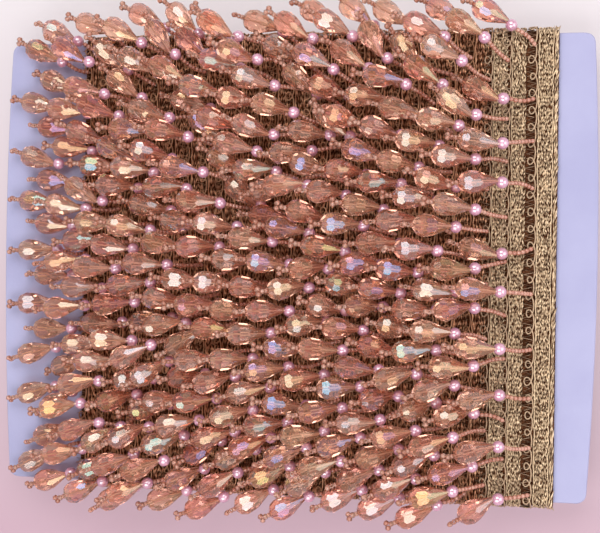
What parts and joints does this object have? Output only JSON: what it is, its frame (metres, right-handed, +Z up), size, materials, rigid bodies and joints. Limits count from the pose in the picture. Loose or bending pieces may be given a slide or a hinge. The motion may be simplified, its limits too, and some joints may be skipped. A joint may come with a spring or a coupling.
{
  "type": "roll of beaded fringe trim",
  "caption": "Metallic gimp braid with a fringe of seed beads, pearls and faceted teardrops, wound in side-by-side turns round a flat card.",
  "frame": {"origin": "middle of the roll's underside, on the surface that it lies on", "axes": "+X across the turns, from the first turn wound to the last, along the card's longer side; +Y along the turns; +Z up out of the card's face. The strands point to -X"},
  "size_m": [0.203, 0.178, 0.0434],
  "materials": {
    "card": "matte lavender paperboard, faintly mottled",
    "braid": "metallic gold and brown gimp yarn, openwork",
    "beads": "clear peach faceted teardrops with an iridescent coat, pink pearls and copper-rose seed beads"
  },
  "bodies": {
    "root": {"card": "card", "wound_braid": "braid", "fringe_front_01": "beads", "fringe_front_02": "beads", "fringe_front_03": "beads", "fringe_front_04": "beads", "fringe_front_05": "beads", "fringe_front_06": "beads", "fringe_front_07": "beads", "fringe_front_08": "beads", "fringe_front_09": "beads", "fringe_front_10": "beads", "fringe_front_11": "beads", "fringe_front_12": "beads", "fringe_front_13": "beads", "fringe_front_14": "beads", "fringe_front_15": "beads", "fringe_front_16": "beads", "fringe_front_17": "beads", "fringe_front_18": "beads", "fringe_front_19": "beads", "fringe_front_20": "beads", "fringe_front_21": "beads", "fringe_front_22": "beads", "fringe_front_23": "beads", "fringe_front_24": "beads", "fringe_front_25": "beads", "fringe_front_26": "beads", "fringe_back_01": "beads", "fringe_back_04": "beads", "fringe_back_07": "beads", "fringe_back_10": "beads", "fringe_back_13": "beads", "fringe_back_16": "beads", "fringe_back_19": "beads", "fringe_back_22": "beads", "fringe_back_25": "beads"}
  },
  "joints": []
}
